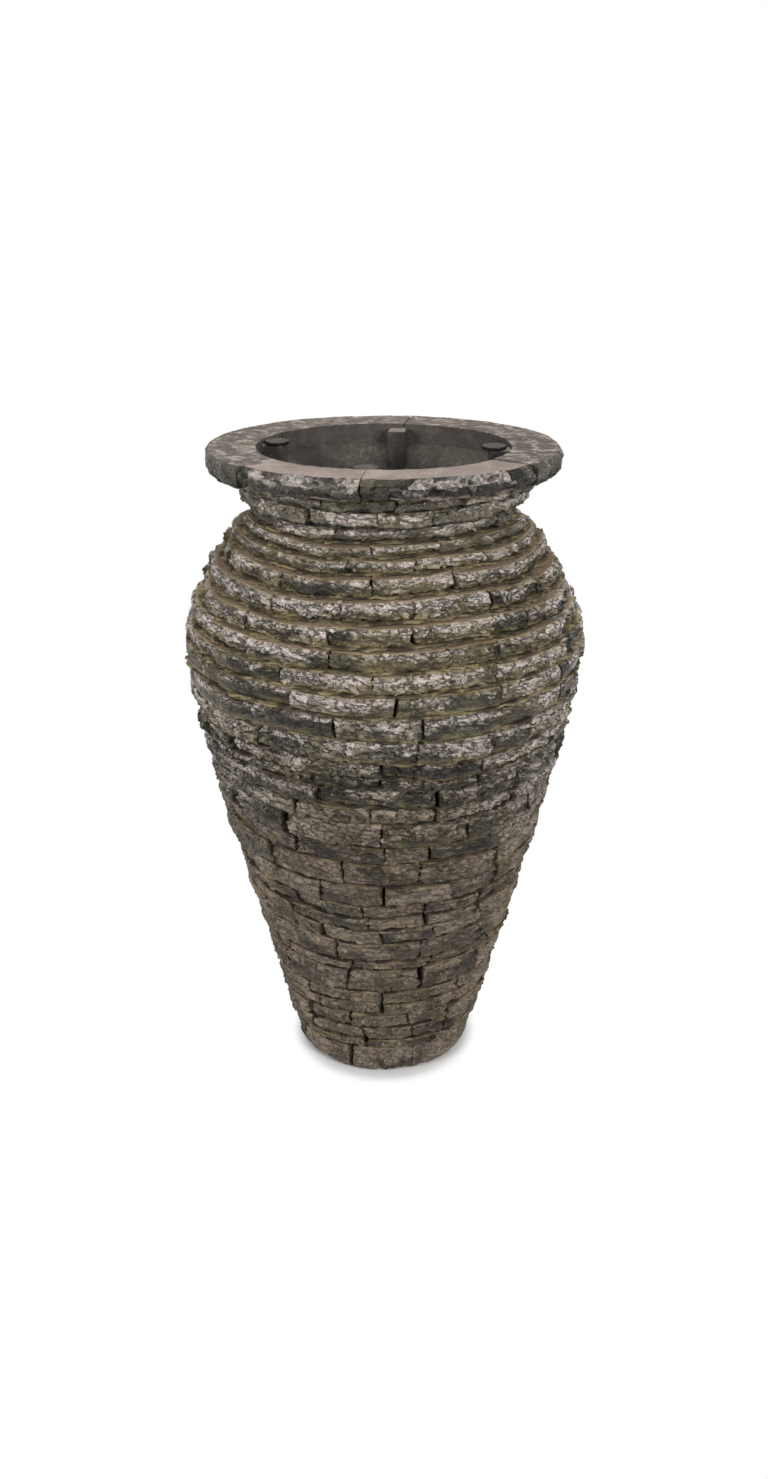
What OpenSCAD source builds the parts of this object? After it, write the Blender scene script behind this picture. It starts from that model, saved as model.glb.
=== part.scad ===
// Garden urn of stacked slate: courses of separate stones set in mortar round a cast liner,
// with a coping of six slabs, four small ribs inside the mouth and a round pad on three of them.
// The base centre is the origin, +Z is up and the front is towards -Y.
// Angles are degrees round the urn: 0 is the front and they grow towards +X.

/* [Outside] */
// Height from the ground to the top of the coping
urn_height = 810; // [675:5:975]
// Diameter of the body where it meets the ground, before its bevel
foot_d = 236; // [200:2:284]
// Diameter at the widest part of the belly
belly_d = 494; // [412:2:594]
// Diameter at the narrowest part of the neck
neck_d = 310; // [258:2:372]
// Height from the widest part of the belly up to the narrowest part of the neck
shoulder_h = 182; // [150:2:220]
// Drop from the top of the coping to the narrowest part of the neck
neck_drop = 68; // [58:1:90]
// How far the belly's taper swells past a straight line
body_swell = 6; // [0:1:12]
// Height of the bevel round the foot
foot_bevel_h = 24; // [10:1:35]
// Width of the bevel round the foot
foot_bevel_w = 13; // [5:1:18]

/* [Inside] */
// Depth from the face of the body's stones to the inner surface
body_shell = 50; // [42:1:60]
// Wall of the cast liner
liner_wall = 12; // [8:1:16]
// Thickness of the liner's floor
floor_t = 40; // [25:1:60]
// Depth from the face of the neck's stones to the throat, the narrowest part inside
neck_shell = 45; // [40:1:54]
// Inner diameter of the mouth
mouth_d = 296; // [246:2:356]
// Depth from the face of the collar, straight under the coping, to the mouth's edge
collar_shell = 37; // [34:1:46]

/* [Mortar] */
// Thickness of the mortar between the liner and the stones
mortar_t = 4; // [2:0.5:6]
// Thickness of the mortar bed between two courses
bed_t = 2; // [1:0.5:4]
// How far a bed stays behind the stones' faces
bed_recess = 6; // [3:0.5:8]

/* [Stones] */
// Usual length of a stone along its face
stone_l = 96; // [80:2:120]
// Usual open gap between two stones of a course
joint_gap = 3; // [1:0.5:6]
// Most that a stone's face stands in or out of its course
face_rough = 2; // [0:0.5:3]
// Most that a stone's corners are hewn back
corner_hewn = 3; // [0:0.5:4]

/* [Coping] */
// Thickness of the coping slabs
coping_t = 25; // [18:1:34]
// Width of the coping, from the mouth's edge to its own outer edge
coping_w = 60; // [50:1:76]
// Height of the bevel round the coping's top edge
coping_bevel_h = 12; // [6:1:16]
// Width of the bevel round the coping's top edge
coping_bevel_w = 11; // [5:1:16]
// Open joint between two coping slabs
coping_gap = 2; // [1:0.5:4]

/* [Ribs and pads] */
// Width of a rib
rib_w = 23; // [16:1:30]
// How far a rib reaches in from the mouth's edge
rib_reach = 25; // [20:1:34]
// Drop from the top of the coping to the top of a rib
rib_drop = 7; // [5:0.5:18]
// Diameter of a pad
pad_d = 29; // [20:1:34]
// Thickness of a pad
pad_t = 4.5; // [2:0.5:6]
// Least clear space between a pad and the mouth's edge
pad_clearance = 1; // [0.5:0.5:3]

/* [Hidden] */
$fn = 96;

// Courses from the ground up: usual height, then the joints on the front as [angle, gap].
courses = [
    [44, [[-60, 3], [-21, 5], [18, 3], [56, 3]]],
    [16, [[-50, 3], [-10, 2], [31, 4]]],
    [23, [[-45, 8], [-12, 3], [16, 3], [37, 4]]],
    [23, [[-45, 8], [-18, 3], [13, 3], [37, 4]]],
    [22, [[-36, 3], [-1, 4], [29, 3]]],
    [22, [[-40, 3], [-1, 4], [39, 4]]],
    [38, [[-52, 3], [-17, 3], [17, 5], [50, 3]]],
    [17, [[-48, 3], [-14, 2], [21, 4], [55, 3]]],
    [33, [[-52, 3], [-20, 4], [15, 4], [48, 3]]],
    [24, [[-56, 3], [-25, 6], [-1, 3], [20, 3], [43, 4]]],
    [19, [[-38, 3], [-6, 3], [16, 3], [38, 9]]],
    [20, [[-34, 3], [-8, 3], [15, 3], [38, 9]]],
    [31, [[-50, 3], [-23, 4], [0, 4], [24, 2], [45, 5]]],
    [34, [[-42, 4], [-14, 4], [12, 2], [42, 9]]],
    [25, [[-55, 3], [-30, 4], [0, 3], [15, 4], [42, 3]]],
    [34, [[-58, 3], [-33, 5], [-1, 4], [27, 3], [54, 3]]],
    [21, [[-50, 3], [-27, 6], [-4, 3], [16, 5], [44, 3]]],
    [25, [[-47, 5], [-20, 4], [16, 7], [44, 3]]],
    [15, [[-54, 3], [-28, 2], [-1, 4], [28, 2], [57, 4]]],
    [20, [[-50, 4], [-26, 2], [-1, 4], [28, 2], [57, 4]]],
    [30, [[-37, 4], [-10, 4], [9, 3], [30, 3], [45, 9]]],
    [29, [[-45, 3], [-37, 3], [-13, 2], [10, 4], [33, 3], [57, 7]]],
    [25, [[-50, 3], [-25, 4], [3, 4], [32, 4], [56, 3]]],
    [22, [[-53, 3], [-29, 4], [-3, 4], [31, 4], [60, 8]]],
    [24, [[-40, 3], [-15, 4], [17, 4], [33, 4], [60, 3]]],
    [24, [[-44, 3], [-16, 4], [8, 3], [32, 4], [46, 4]]],
    [24, [[-60, 3], [-36, 4], [-13, 3], [9, 4], [34, 3], [58, 3]]],
    [21, [[-69, 4], [-36, 3], [-4, 4], [24, 3], [50, 3]]],
    [15, [[-51, 4], [-13, 4], [11, 4], [38, 3]]],
    [13, [[-60, 3], [-32, 3], [-5, 3], [22, 3], [46, 3]]],
    [16, [[-48, 3], [-20, 3], [6, 3], [30, 3], [54, 3]]],
    [21, [[-58, 3], [-30, 3], [-2, 3], [18, 3], [44, 3]]],
    [15, [[-44, 3], [-22, 3], [4, 3], [29, 3], [52, 3]]]
];
// The liner's cast rings, from its base up: name and the course at whose foot each one ends;
// the last two end at the throat and at the coping.
ring_names = [
    "liner_lower_ring", "liner_body_ring", "liner_shoulder_ring", "liner_neck_ring", "liner_mouth_ring"
];
ring_courses = [13, 22, 27];
// Joints between the coping slabs
coping_joints = [-50, -7, 53, 103, 170, 237];
// Where the ribs stand, which of them carry a pad, and how much further in each of those pads lies
rib_angles = [-9, 92, 173, 254];
padded_ribs = [0, 1, 3];
pad_insets = [7, 4, 0];
// How fast the shoulder falls away outside and inside: 1 is a straight line, more is rounder at the belly
shoulder_bend = 1.9;
inner_bend = 1.4;
// Widest angle of a rear stone, and how far rear joints wander, as a share of a stone
widest_stone = 42;
joint_wander = 0.2;
// Angle of one hewn flat of the coping's edge
slab_flat = 11;
// How much the courses' shades differ, and the turn of the shade from one course to the next
shade_spread = 0.12;
shade_turn = 137;

// Levels
coping_z = urn_height - coping_t;
neck_z = urn_height - neck_drop;
belly_z = neck_z - shoulder_h;
n_courses = len(courses);
function usual_top(k) = k <= 0 ? 0 : courses[k - 1][0] + usual_top(k - 1);
course_scale = (coping_z - bed_t) / usual_top(n_courses);
// Bottom of course k, where its bed begins; one past the last course is the coping's bed.
function level(k) = usual_top(k) * course_scale;

// Radii of the outside and of the inner surface at a height
foot_r = foot_d / 2;
belly_r = belly_d / 2;
neck_r = neck_d / 2;
throat_r = neck_r - neck_shell;
mouth_r = mouth_d / 2;
collar_r = mouth_r + collar_shell;
coping_r = mouth_r + coping_w;
function rise(z) = max(0, min(1, z / belly_z));
function fall(z) = max(0, min(1, (z - belly_z) / shoulder_h));
function flare(z) = max(0, min(1, (z - neck_z) / (coping_z - neck_z)));
function body_r(z) = foot_r + (belly_r - foot_r) * rise(z) + body_swell * sin(180 * pow(rise(z), 2));
function outer_r(z) =
    z < belly_z ? body_r(z)
    : z < neck_z ? belly_r + (neck_r - belly_r) * pow(fall(z), shoulder_bend)
    : neck_r + (collar_r - neck_r) * sin(90 * flare(z));
function inner_r(z) =
    z < belly_z ? body_r(z) - body_shell
    : z < neck_z ? belly_r - body_shell + (throat_r - belly_r + body_shell) * pow(fall(z), inner_bend)
    : throat_r + (mouth_r - throat_r) * flare(z);

// Heights where the liner has a corner, from the ground to the coping
wall_levels = concat(
    [0, floor_t],
    [for (k = [1 : n_courses - 1]) if (level(k) > floor_t && level(k) < neck_z) level(k)],
    [neck_z, coping_z]
);
// Heights of the joints between the liner's rings
ring_levels = concat([floor_t], [for (k = ring_courses) level(k)], [neck_z, coping_z]);

// Face, and back where the stones touch the jacket, of course k
function course_bottom(k) = k == 0 ? 0 : level(k) + bed_t;
function course_r(k) = outer_r((level(k) + level(k + 1)) / 2);
function course_back(k) = max(inner_r(level(k)), inner_r(level(k + 1))) + liner_wall + mortar_t;
// Outer edge of the bed under course k
function bed_r(k) = (k == n_courses ? course_r(k - 1) : min(course_r(k - 1), course_r(k))) - bed_recess;

// Joints of course k as [angle, gap]: those of the front, then the rest shared out evenly with a wander
function front_joints(k) = courses[k][1];
function last_front(k) = front_joints(k)[len(front_joints(k)) - 1][0];
function rear_span(k) = front_joints(k)[0][0] + 360 - last_front(k);
function rear_length(k) = rear_span(k) * PI / 180 * course_r(k);
function rear_count(k) = max(ceil(rear_span(k) / widest_stone), round(rear_length(k) / stone_l));
function rear_joints(k) =
    let (n = rear_count(k), wander = rands(-joint_wander, joint_wander, n + 1, k + 1))
    [for (j = [1 : 1 : n - 1]) [last_front(k) + rear_span(k) * (j + wander[j]) / n, joint_gap]];
function course_joints(k) = concat(front_joints(k), rear_joints(k));

// A point at a radius and an angle
function spot(r, a) = [r * sin(a), -r * cos(a)];
// Angle that a length takes up at a radius
function angle_of(length, r) = length / r * 180 / PI;

function course_name(k) = str("stone_course_", k < 9 ? "0" : "", k + 1);
function slab_name(k) = str("coping_slab_", k + 1);

// The hollow that the liner leaves, up past the top of the coping
module hollow() {
    rotate_extrude()
        polygon(concat(
            [[0, floor_t]],
            [for (z = wall_levels) if (z >= floor_t) [inner_r(z), z]],
            [[mouth_r, urn_height + 1], [0, urn_height + 1]]
        ));
}

// Solid floor of the cast liner
module liner_base() {
    color([0.50, 0.47, 0.42])
        rotate_extrude()
            polygon([
                [0, 0],
                [inner_r(0) + liner_wall, 0],
                [inner_r(floor_t) + liner_wall, floor_t],
                [0, floor_t]
            ]);
}

// Ring k of the cast liner, which stands on the one below it
module liner_ring(k) {
    heights = [for (z = wall_levels) if (z >= ring_levels[k] && z <= ring_levels[k + 1]) z];
    color([0.50, 0.47, 0.42])
        rotate_extrude()
            polygon(concat(
                [for (z = heights) [inner_r(z) + liner_wall, z]],
                [for (j = [len(heights) - 1 : -1 : 0]) [inner_r(heights[j]), heights[j]]]
            ));
}

// Jacket behind the stones, with one thin bed under each course and one under the coping
module mortar_bed() {
    color([0.42, 0.38, 0.26])
        rotate_extrude()
            polygon(concat(
                [for (k = [0 : n_courses - 1]) each [
                    [course_back(k), course_bottom(k)],
                    [course_back(k), level(k + 1)],
                    [bed_r(k + 1), level(k + 1)],
                    [bed_r(k + 1), level(k + 1) + bed_t]
                ]],
                [for (j = [len(wall_levels) - 1 : -1 : 0])
                    [inner_r(wall_levels[j]) + liner_wall, wall_levels[j]]]
            ));
}

// One stone between two joints: a flat back that touches the jacket and a face of three flats
module stone(from, to, back, face, height, ends) {
    middle = (from + to) / 2;
    half = (to - from) / 2;
    corner = back / cos(half);
    linear_extrude(height)
        polygon([
            spot(corner, middle - half),
            spot(face - ends[0], middle - half),
            spot(face, middle - half / 3),
            spot(face, middle + half / 3),
            spot(face - ends[1], middle + half),
            spot(corner, middle + half)
        ]);
}

// All stones of one course
module course_stones(k) {
    joints = course_joints(k);
    n = len(joints);
    rough = rands(-face_rough, face_rough, n, 100 + k);
    hewn = rands(0, corner_hewn, 2 * n, 200 + k);
    r = course_r(k);
    translate([0, 0, course_bottom(k)])
        for (j = [0 : n - 1]) {
            next = j + 1 < n ? joints[j + 1] : [joints[0][0] + 360, joints[0][1]];
            stone(
                from = joints[j][0] + angle_of(joints[j][1] / 2, r),
                to = next[0] - angle_of(next[1] / 2, r),
                back = course_back(k),
                face = r + rough[j],
                height = level(k + 1) - course_bottom(k),
                ends = [hewn[2 * j], hewn[2 * j + 1]]
            );
        }
}

// Course k as a node; the lowest one is bevelled round the foot
module stone_course(k) {
    color([0.40, 0.37, 0.36] * (1 + shade_spread * sin(shade_turn * k)))
        if (k == 0)
            intersection() {
                course_stones(k);
                rotate_extrude()
                    polygon([
                        [0, 0],
                        [course_r(k) - foot_bevel_w, 0],
                        [course_r(k) + face_rough, foot_bevel_h],
                        [course_r(k) + face_rough, level(1) + 1],
                        [0, level(1) + 1]
                    ]);
            }
        else
            course_stones(k);
}

// Plan of a coping slab: joint faces run to the axis, and the outer edge is hewn in flats
module slab_plan(from, to, seed) {
    flats = max(3, round((to - from) / slab_flat));
    hewn = rands(0, corner_hewn, flats + 1, seed);
    polygon(concat(
        [spot(mouth_r / 2, from)],
        [for (j = [0 : flats]) spot(coping_r - hewn[j], from + (to - from) * j / flats)],
        [spot(mouth_r / 2, to)]
    ));
}

// Slab k of the coping, bevelled round its top edge
module coping_slab(k) {
    n = len(coping_joints);
    half_gap = angle_of(coping_gap / 2, mouth_r);
    to = k + 1 < n ? coping_joints[k + 1] : coping_joints[0] + 360;
    color([0.62, 0.55, 0.52])
        difference() {
            intersection() {
                translate([0, 0, coping_z])
                    linear_extrude(coping_t)
                        slab_plan(coping_joints[k] + half_gap, to - half_gap, 300 + k);
                rotate_extrude()
                    polygon([
                        [0, coping_z - 1],
                        [coping_r + 1, coping_z - 1],
                        [coping_r + 1, urn_height - coping_bevel_h],
                        [coping_r + 1 - coping_bevel_w, urn_height],
                        [0, urn_height]
                    ]);
            }
            translate([0, 0, coping_z - 1])
                cylinder(h = coping_t + 2, r = mouth_r);
        }
}

// Small brackets that stand out of the mouth's wall and run down into the throat
module support_ribs() {
    rib_top = urn_height - rib_drop;
    color([0.52, 0.49, 0.44])
        for (a = rib_angles)
            intersection() {
                hollow();
                rotate([0, 0, a])
                    translate([-rib_w / 2, -mouth_r - 1, neck_z])
                        cube([rib_w, rib_reach + 1, rib_top - neck_z]);
            }
}

// The round pads that lie on the tops of the padded ribs
module rubber_pads() {
    outer_r = mouth_r - pad_clearance - pad_d / 2;
    color([0.12, 0.12, 0.13])
        for (j = [0 : len(padded_ribs) - 1])
            translate([each spot(outer_r - pad_insets[j], rib_angles[padded_ribs[j]]), urn_height - rib_drop])
                cylinder(h = pad_t, d = pad_d);
}

liner_base();
for (k = [0 : len(ring_names) - 1])
    liner_ring(k);
mortar_bed();
for (k = [0 : n_courses - 1])
    stone_course(k);
for (k = [0 : len(coping_joints) - 1])
    coping_slab(k);
support_ribs();
rubber_pads();
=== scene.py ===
"""Garden urn of stacked slate: hewn stones, mortar, cast liner, coping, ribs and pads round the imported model.

Metres throughout, base centre at the origin, +Z up, front towards -Y.
"""

import math

import bpy
import numpy as np
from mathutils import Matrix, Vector


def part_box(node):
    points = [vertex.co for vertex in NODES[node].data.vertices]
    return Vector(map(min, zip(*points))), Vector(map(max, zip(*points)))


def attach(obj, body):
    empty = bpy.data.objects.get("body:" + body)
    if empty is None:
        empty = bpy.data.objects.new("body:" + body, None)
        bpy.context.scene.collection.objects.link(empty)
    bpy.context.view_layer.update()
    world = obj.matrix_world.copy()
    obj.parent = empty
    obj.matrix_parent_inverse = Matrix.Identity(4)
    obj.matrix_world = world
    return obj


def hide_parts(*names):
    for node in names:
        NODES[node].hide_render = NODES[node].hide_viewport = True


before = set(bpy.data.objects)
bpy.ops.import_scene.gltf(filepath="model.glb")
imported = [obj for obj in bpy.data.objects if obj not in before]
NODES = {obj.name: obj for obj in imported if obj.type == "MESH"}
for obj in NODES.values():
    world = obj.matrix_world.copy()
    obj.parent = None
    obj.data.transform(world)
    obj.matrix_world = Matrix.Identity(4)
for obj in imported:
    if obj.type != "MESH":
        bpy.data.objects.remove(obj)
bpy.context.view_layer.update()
COURSES = sorted(name for name in NODES if name.startswith("stone_course_"))
SLABS = sorted(name for name in NODES if name.startswith("coping_slab_"))
LINER = sorted(name for name in NODES if name.startswith("liner_"))

# Mesh sizes
STONE_CELL = 0.0018
SLAB_CELL = 0.0018
TURN_STEPS = 256
SMALL_STEPS = 64
SHARP_ANGLE = 34.0

# Shapes of the stones
EDGE_ROUND = 0.0034
END_ROUND = (0.0004, 0.0026)
JOINT_SIZES = (0.0030, 0.0042, 0.0052, 0.0090)
JOINT_KEPT = (0.06, 0.22, 0.55, 0.80)
JOINT_LEFT = 0.0003
WIDE_JOINT = 0.0036
WEDGE = 0.0045
COVERED = 0.05
MOST_PROUD = 0.002
SLOPED_COURSES = 20
SLAB_JOINTS = (0.35, 0.12, 0.75, 0.35, 0.35, 0.35)
SLAB_TONES = (0.05, 0.0, 1.0, 0.85, 0.80, 0.90)
TOP_SAG = 0.0006
BED_FORWARD = (0.46, 0.58, 0.735, 0.745), (0.0045, 0.0066, 0.0070, 0.0)
OPEN_BED = 0.007
SLAB_BEVELS = (0.009, 0.009, 0.005, 0.004, 0.004, 0.0035)
SLAB_UNDERCUTS = (0.009, 0.009, 0.006, 0.003, 0.003, 0.003)
SLAB_CHIPS = (0.010, 0.011, 0.007, 0.004, 0.004, 0.004)
FACE_HOLLOWS = [(-0.01, 0.17, 0.0070), (0.38, 0.24, 0.0035), (-0.55, 0.16, 0.0025)]
SHOWN_FOOT = 0.03
MOUTH_ROUND = 0.0006
JACKET = 0.012
RIPPLE_WAVES = 24
RIB_ROUND = 0.0025
LET_IN = 0.0015
PAD_ROUND = 0.0014
PAD_DISH = 0.0011

# Hand-laid wander of the courses, the heights over which it fades, and the greatest radius
WANDER = 0.0018
FOOT_FADE = 0.06
COPING_LEVEL = 0.785
COPING_FADE = 0.10
WIDEST = 0.2462

# Top of the quiet lower courses, the height over which they turn lively, and the gloss of the stone
QUIET_TOP = 0.43
QUIET_FADE = 0.12
STONE_SPECULAR = 0.46

# Camera and light
CAMERA_PLACE = (0.0, -1.458, 1.071)
CAMERA_TILT = 66.42
LENS = 30.18
SHADOW_CENTRE = (0.0, -0.012, 0.0)
FOOT_SHADOW = (0.108, 0.131)
FLOOR_COLOUR = (0.93, 0.93, 0.93, 1)
ROOM_LOW = 0.28
ROOM_TOP = 0.50
ROOM_SIDES = 0.45
LAMPS = [
    ("right", (1.45, -1.95, 1.45), (0.0, 0.0, 0.5), 0.70, 31.0),
    ("left", (-1.75, -1.55, 1.35), (0.0, 0.0, 0.5), 0.70, 22.5),
    ("top", (0.0, 0.35, 2.5), (0.0, 0.0, 0.5), 0.8, 20.0),
    ("back", (-0.5, 2.3, 0.5), (0.0, 0.0, 0.4), 0.7, 14.0),
]


def paint(red, green, blue):
    """A colour given as a screen shows it, from 0 to 255, as the linear colour that a shader takes."""
    levels = []
    for level in (red, green, blue):
        level = level / 255
        levels.append(level / 12.92 if level < 0.04045 else ((level + 0.055) / 1.055) ** 2.4)
    return (*levels, 1.0)


class Value:
    """What a node gives out, for plain arithmetic: each operation adds a maths node to the tree."""

    def __init__(self, tree, socket):
        self.tree, self.socket = tree, socket

    def __add__(self, other):
        return calc("ADD", self, other)

    def __sub__(self, other):
        return calc("SUBTRACT", self, other)

    def __rsub__(self, other):
        return calc("SUBTRACT", other, self)

    def __mul__(self, other):
        return calc("MULTIPLY", self, other)

    def __truediv__(self, other):
        return calc("DIVIDE", self, other)

    def __rtruediv__(self, other):
        return calc("DIVIDE", other, self)

    def __pow__(self, other):
        return calc("POWER", self, other)

    def __abs__(self):
        return calc("ABSOLUTE", self)


class Outputs:
    """What a node gives out, by name or number."""

    def __init__(self, tree, node):
        self.tree, self.node = tree, node

    def __getitem__(self, key):
        return Value(self.tree, self.node.outputs[key])


def set_inputs(tree, node, inputs):
    """Gives a node its inputs by name or number, each a plain value or what another node gives out."""
    for key, value in inputs.items():
        if isinstance(value, Value):
            tree.links.new(value.socket, node.inputs[key])
        else:
            node.inputs[key].default_value = value


def put(tree, kind, inputs=None, **settings):
    """Adds a node with its settings and its inputs, and returns its outputs."""
    node = tree.nodes.new(kind)
    for name, value in settings.items():
        setattr(node, name, value)
    set_inputs(tree, node, inputs or {})
    return Outputs(tree, node)


def tree_of(values):
    """The tree of the first value that comes from a node."""
    return next(value.tree for value in values if isinstance(value, Value))


def calc(operation, *values):
    """The result of a maths node."""
    return put(tree_of(values), "ShaderNodeMath", dict(enumerate(values)), operation=operation)[0]


def vector(operation, *values, result=0):
    """The result of a vector maths node."""
    return put(tree_of(values), "ShaderNodeVectorMath", dict(enumerate(values)), operation=operation)[result]


def scaled(value, factor):
    """A place or colour times a number."""
    return put(value.tree, "ShaderNodeVectorMath", {0: value, "Scale": factor}, operation="SCALE")[0]


def axis(value, number):
    """One of the three numbers of a place or a direction."""
    return put(value.tree, "ShaderNodeSeparateXYZ", {0: value})[number]


def step(value, low, high, start=0.0, end=1.0):
    """A smooth step from start to end as the value goes from low to high."""
    inputs = {"Value": value, "From Min": low, "From Max": high, "To Min": start, "To Max": end}
    return put(value.tree, "ShaderNodeMapRange", inputs, interpolation_type="SMOOTHSTEP")[0]


def noise(place, scale, detail=3.0, rough=0.5, result=0):
    """A noise value; the scale is one number, or three for a stretched noise, in cells a metre."""
    if isinstance(scale, tuple):
        place = vector("MULTIPLY", place, scale)
        scale = 1.0
    inputs = {"Vector": place, "Scale": scale, "Detail": detail, "Roughness": rough}
    return put(place.tree, "ShaderNodeTexNoise", inputs)[result]


def cells(place, scale, feature="F1"):
    """The outputs of a Voronoi node over a stretched place."""
    inputs = {"Vector": vector("MULTIPLY", place, scale), "Scale": 1.0}
    return put(place.tree, "ShaderNodeTexVoronoi", inputs, feature=feature)


def add_mesh(name, points, faces, **values):
    """An object from points and faces, with named values on its points, of one number or three each."""
    mesh = bpy.data.meshes.new(name)
    mesh.from_pydata(points.tolist(), [], faces)
    for key, numbers in values.items():
        kind, field = ("FLOAT", "value") if numbers.ndim == 1 else ("FLOAT_VECTOR", "vector")
        mesh.attributes.new(key, kind, "POINT").data.foreach_set(field, numbers.ravel().astype(np.float32))
    obj = bpy.data.objects.new(name, mesh)
    bpy.context.scene.collection.objects.link(obj)
    return obj


def grid_faces(columns, rows, start=0, wrap_rows=True, wrap_columns=False):
    """Four-cornered faces of a grid of columns times rows of points, which may close on itself."""
    across = np.arange(columns if wrap_columns else columns - 1)
    up = np.arange(rows if wrap_rows else rows - 1)
    i, j = (index.ravel() for index in np.meshgrid(across, up, indexing="ij"))
    next_i, next_j = (i + 1) % columns, (j + 1) % rows
    corners = (i * rows + j, next_i * rows + j, next_i * rows + next_j, i * rows + next_j)
    return (np.stack(corners, axis=1) + start).tolist()


def separate_solids(obj):
    """The corner points of each separate solid in a CAD node's mesh."""
    places = np.empty(len(obj.data.vertices) * 3)
    obj.data.vertices.foreach_get("co", places)
    corners, same = np.unique(np.round(places.reshape(-1, 3), 6), axis=0, return_inverse=True)
    loops = np.empty(len(obj.data.loops), int)
    obj.data.loops.foreach_get("vertex_index", loops)
    faces = same.ravel()[loops].reshape(-1, 3)
    label = np.arange(len(corners))
    while True:
        spread = label.copy()
        for column in range(3):
            np.minimum.at(spread, faces[:, column], label[faces].min(axis=1))
        if (spread == label).all():
            return [corners[label == one] for one in np.unique(label)]
        label = spread


class Block:
    """A stone or slab of the CAD model, as a piece of a ring: end angles, levels, back and face."""

    def __init__(self, points):
        middle = math.atan2(points[:, 0].mean(), -points[:, 1].mean())
        turn = np.arctan2(points[:, 0], -points[:, 1]) - middle
        turn = (turn + math.pi) % (2 * math.pi) - math.pi
        radius = np.hypot(points[:, 0], points[:, 1])
        self.half = (turn.max() - turn.min()) / 2
        self.middle = middle + (turn.max() + turn.min()) / 2
        self.bottom, self.top = points[:, 2].min(), points[:, 2].max()
        self.face = radius.max()
        self.back = radius.min() * math.cos(self.half)
        self.inner = radius.min()
        low = points[:, 2] < self.bottom + 1e-5
        self.low_face = radius[low].max()
        self.bevel_top = points[radius > self.face - 0.002, 2].min()


def radius_of(points):
    """How far points lie from the urn's axis."""
    return np.hypot(points[:, 0], points[:, 1])


def on_ring(angle, radius, height):
    """Points at angles, radii and heights round the urn's axis."""
    return np.stack((radius * np.sin(angle), -radius * np.cos(angle), height), axis=-1)


def finish_nodes(obj, tree, **inputs):
    """Runs a geometry tree on an object, with its named inputs, and leaves the result as a plain mesh."""
    modifier = obj.modifiers.new("shape", "NODES")
    modifier.node_group = tree
    for item in tree.interface.items_tree:
        if item.in_out == "INPUT" and item.name in inputs:
            modifier[item.identifier] = inputs[item.name]
    obj.update_tag()
    view_layer = bpy.context.view_layer
    view_layer.update()
    shaped = bpy.data.meshes.new_from_object(obj.evaluated_get(bpy.context.evaluated_depsgraph_get()))
    obj.modifiers.clear()
    old = obj.data
    obj.data = shaped
    bpy.data.meshes.remove(old)
    shaped.shade_smooth()
    shaped.set_sharp_from_angle(angle=math.radians(SHARP_ANGLE))
    return obj


def tree_with_inputs(name, sizes):
    """A new geometry tree that takes a mesh, a finish and named sizes; returns it and what it is given."""
    tree = bpy.data.node_groups.new(name, "GeometryNodeTree")
    tree.interface.new_socket("Geometry", in_out="INPUT", socket_type="NodeSocketGeometry")
    tree.interface.new_socket("Finish", in_out="INPUT", socket_type="NodeSocketMaterial")
    for label, value in sizes.items():
        tree.interface.new_socket(label, in_out="INPUT", socket_type="NodeSocketFloat").default_value = value
    tree.interface.new_socket("Geometry", in_out="OUTPUT", socket_type="NodeSocketGeometry")
    given = tree.nodes.new("NodeGroupInput").outputs
    return tree, {socket.name: Value(tree, socket) for socket in given if socket.name}


def read(tree, name, kind="FLOAT"):
    """A value that the mesh carries on its points."""
    return put(tree, "GeometryNodeInputNamedAttribute", {"Name": name}, data_type=kind)[0]


def end_tree(tree, geometry, given):
    """Closes a geometry tree: makes instances real, sets the finish and hands out the result."""
    real = put(tree, "GeometryNodeRealizeInstances", {"Geometry": geometry})[0]
    finished = put(tree, "GeometryNodeSetMaterial", {"Geometry": real, "Material": given["Finish"]})[0]
    put(tree, "NodeGroupOutput", {"Geometry": finished})


def scallops(place, width, height, depth):
    """Shallow chips of about a width and a height, hollow in the middle and each with its own lean; also a
    tone for each chip."""
    scale = put(place.tree, "ShaderNodeCombineXYZ", {0: 1.0 / width, 1: 1.0 / height, 2: 1.0 / width})[0]
    stretched = vector("MULTIPLY", place, scale)
    cell = put(place.tree, "ShaderNodeTexVoronoi", {"Vector": stretched, "Scale": 1.0})
    lean = vector("SUBTRACT", cell["Color"], (0.5, 0.5, 0.5))
    away = vector("SUBTRACT", stretched, cell["Position"])
    tilt = vector("DOT_PRODUCT", away, lean, result=1)
    hollow = cell["Distance"] ** 2.0 - 0.3
    shape = tilt * 1.6 + hollow * 1.2
    shape += (axis(cell["Color"], 0) - 0.5) * 0.35
    return shape * depth, axis(cell["Color"], 1)


def creases(place, scale, detail=2.0):
    """Sharp ridges with rounded hollows between them, from 0 on a ridge to about 1."""
    level = noise(place, scale, detail, 0.55) - 0.5
    return abs(level) * 4.0


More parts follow.
